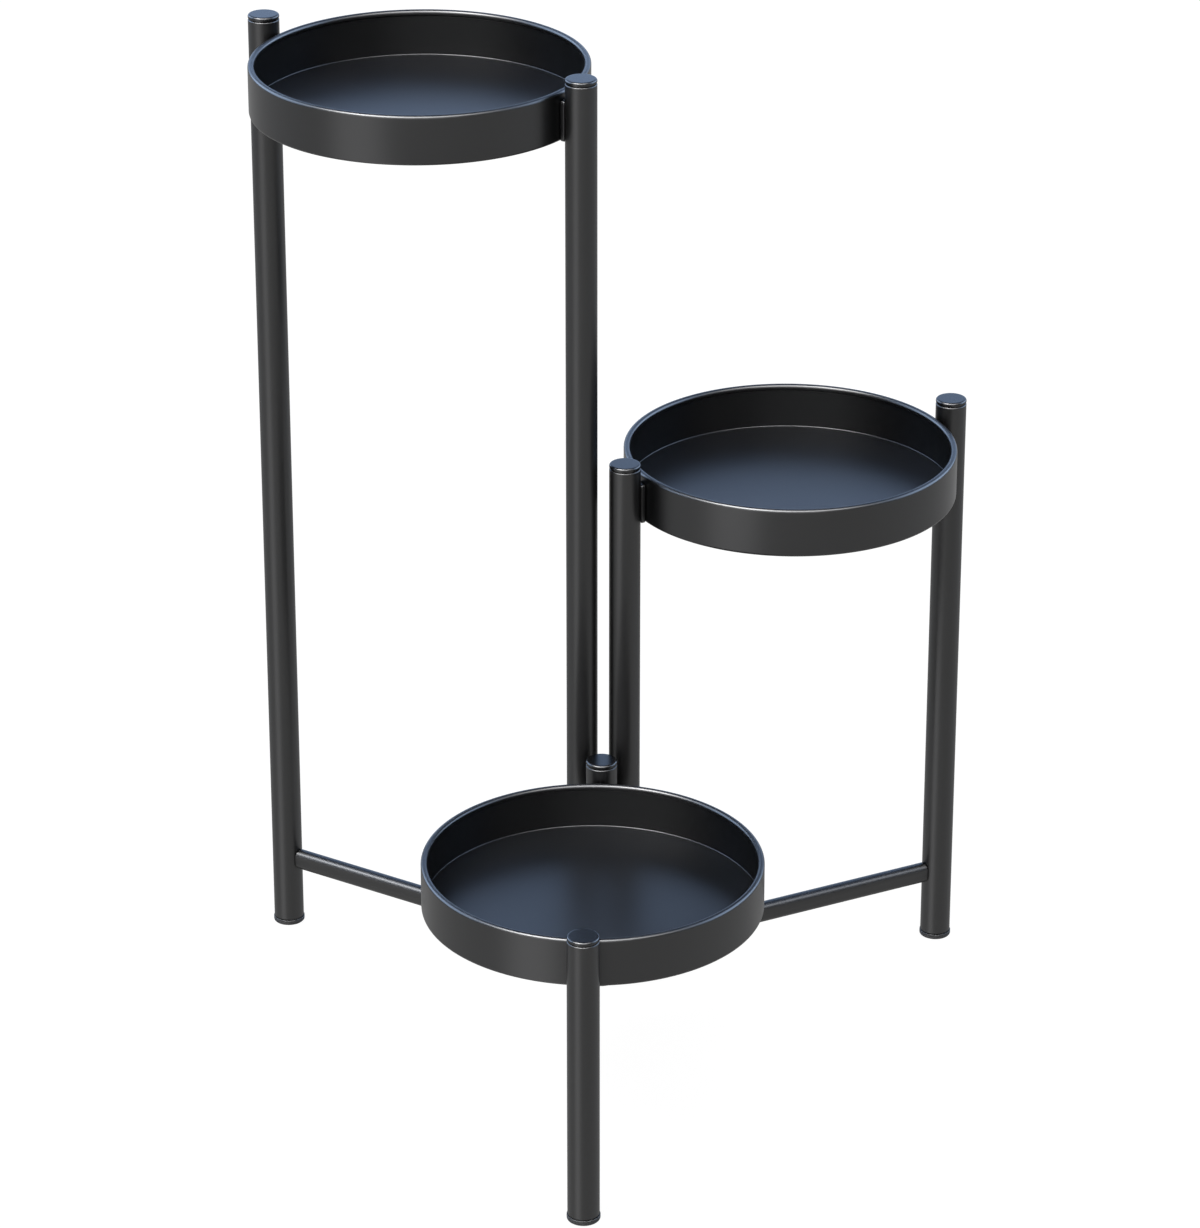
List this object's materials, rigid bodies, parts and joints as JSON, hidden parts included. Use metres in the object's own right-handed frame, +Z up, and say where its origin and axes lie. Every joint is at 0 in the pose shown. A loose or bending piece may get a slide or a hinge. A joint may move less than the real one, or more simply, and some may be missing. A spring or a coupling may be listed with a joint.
{
  "type": "tiered plant stand",
  "caption": "Free-standing plant stand of round tray frames at stepped heights, set as a star and swinging about their centre posts in shared hinge brackets.",
  "frame": {"origin": "on the floor, at the centre of the stand's plan box", "axes": "+Z up; the low frame points along -Y, the tall frame to -X +Y and the middle frame to +X +Y"},
  "size_m": [0.5086, 0.4838, 0.711],
  "materials": {
    "post_paint": "satin charcoal powder coat",
    "tray_paint": "satin charcoal powder coat, smoother than the posts",
    "cap_plastic": "smooth satin moulding",
    "foot_plastic": "matt moulding",
    "bracket_plastic": "fine spark-textured moulding",
    "screw_steel": "blackened steel"
  },
  "bodies": {
    "tall_frame": {"tall_centre_post": "post_paint", "tall_centre_cap": "cap_plastic", "tall_centre_foot": "foot_plastic", "tall_centre_tray_lug": "tray_paint", "tall_outer_post": "post_paint", "tall_outer_cap": "cap_plastic", "tall_outer_foot": "foot_plastic", "tall_outer_tray_lug": "tray_paint", "tall_tray": "tray_paint", "tall_crossbar": "post_paint", "lower_hinge_bracket": "bracket_plastic", "lower_bracket_screw": "screw_steel", "upper_hinge_bracket": "bracket_plastic", "upper_bracket_screw": "screw_steel"},
    "middle_frame": {"middle_centre_post": "post_paint", "middle_centre_cap": "cap_plastic", "middle_centre_foot": "foot_plastic", "middle_centre_tray_lug": "tray_paint", "middle_outer_post": "post_paint", "middle_outer_cap": "cap_plastic", "middle_outer_foot": "foot_plastic", "middle_outer_tray_lug": "tray_paint", "middle_tray": "tray_paint", "middle_crossbar": "post_paint"},
    "low_frame": {"low_centre_post": "post_paint", "low_centre_cap": "cap_plastic", "low_centre_foot": "foot_plastic", "low_centre_tray_lug": "tray_paint", "low_outer_post": "post_paint", "low_outer_cap": "cap_plastic", "low_outer_foot": "foot_plastic", "low_outer_tray_lug": "tray_paint", "low_tray": "tray_paint", "low_crossbar": "post_paint"}
  },
  "joints": [
    {"name": "middle_frame_swing", "type": "hinge", "parent": "tall_frame", "child": "middle_frame", "pos_m": [0.015, 0.05862, 0.08], "axis": [0, 0, 1], "range_deg": [-60, 70]},
    {"name": "low_frame_swing", "type": "hinge", "parent": "tall_frame", "child": "low_frame", "pos_m": [0, 0.03263, 0.08], "axis": [0, 0, 1], "range_deg": [-70, 60]}
  ]
}
